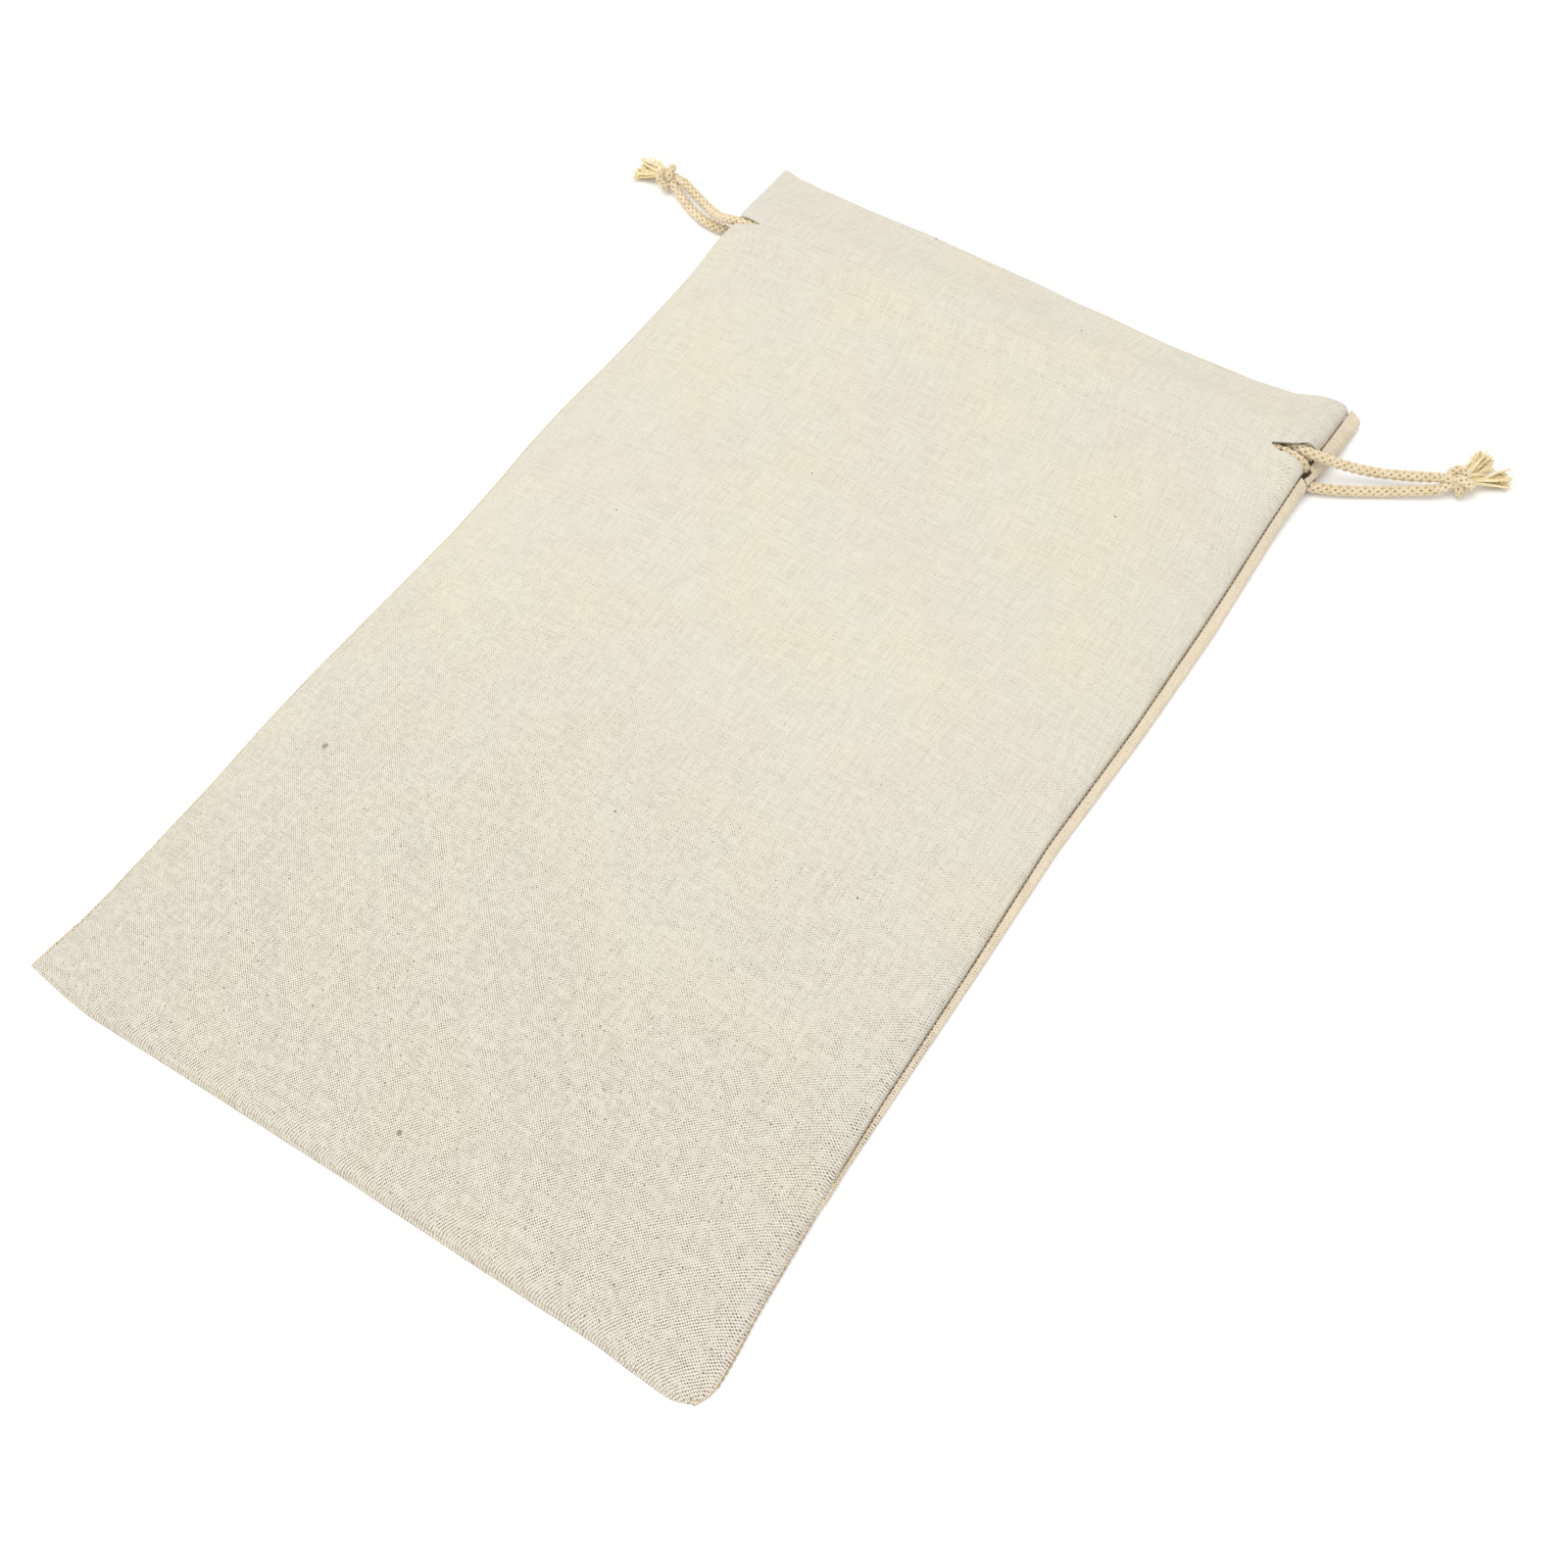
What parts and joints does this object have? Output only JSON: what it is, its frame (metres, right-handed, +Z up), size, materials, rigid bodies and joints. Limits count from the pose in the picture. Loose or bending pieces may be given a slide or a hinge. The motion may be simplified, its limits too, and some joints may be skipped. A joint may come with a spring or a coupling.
{
  "type": "drawstring shoe bag",
  "caption": "Flat rectangular calico bag with a hemmed mouth and two knotted, tasselled drawstrings that leave the channel at opposite sides and pull it shut.",
  "frame": {"origin": "centre of the bag's footprint, on the surface that its back panel lies on, with the cord tails, knots and tassels left out", "axes": "+Y from the bottom seam to the mouth, +X towards the right-hand seam as the front is looked at, +Z up out of the front panel"},
  "size_m": [0.2976, 0.3453, 0.0147],
  "materials": {
    "calico": "unbleached plain-weave cotton, matt, with a few dark seed flecks",
    "sewing_thread": "spun cotton thread, matt",
    "cotton_cord": "soft braided cotton, matt, cream",
    "cord_fibres": "frayed loose cotton strands, yellowish cream"
  },
  "bodies": {
    "bag": {"back_panel": "calico", "front_panel": "calico", "front_hem_stitching": "sewing_thread", "back_hem_stitching": "sewing_thread", "bottom_seam_stitching": "sewing_thread", "left_side_seam_stitching": "sewing_thread", "left_mouth_seam_stitching": "sewing_thread", "right_side_seam_stitching": "sewing_thread", "right_mouth_seam_stitching": "sewing_thread", "left_cord_turn": "cotton_cord", "right_cord_turn": "cotton_cord"},
    "right_drawstring": {"right_cord_front_run": "cotton_cord", "right_cord_back_run": "cotton_cord", "right_cord_front_tail": "cotton_cord", "right_cord_back_tail": "cotton_cord", "right_cord_knot": "cotton_cord", "right_cord_tassel": "cord_fibres"},
    "left_drawstring": {"left_cord_front_run": "cotton_cord", "left_cord_back_run": "cotton_cord", "left_cord_front_tail": "cotton_cord", "left_cord_back_tail": "cotton_cord", "left_cord_knot": "cotton_cord", "left_cord_tassel": "cord_fibres"}
  },
  "joints": [
    {"name": "right_drawstring_pull", "type": "slide", "parent": "bag", "child": "right_drawstring", "axis": [1, 0, 0], "range_m": [0, 0.15]},
    {"name": "left_drawstring_pull", "type": "slide", "parent": "bag", "child": "left_drawstring", "axis": [-1, 0, 0], "range_m": [0, 0.15]}
  ]
}
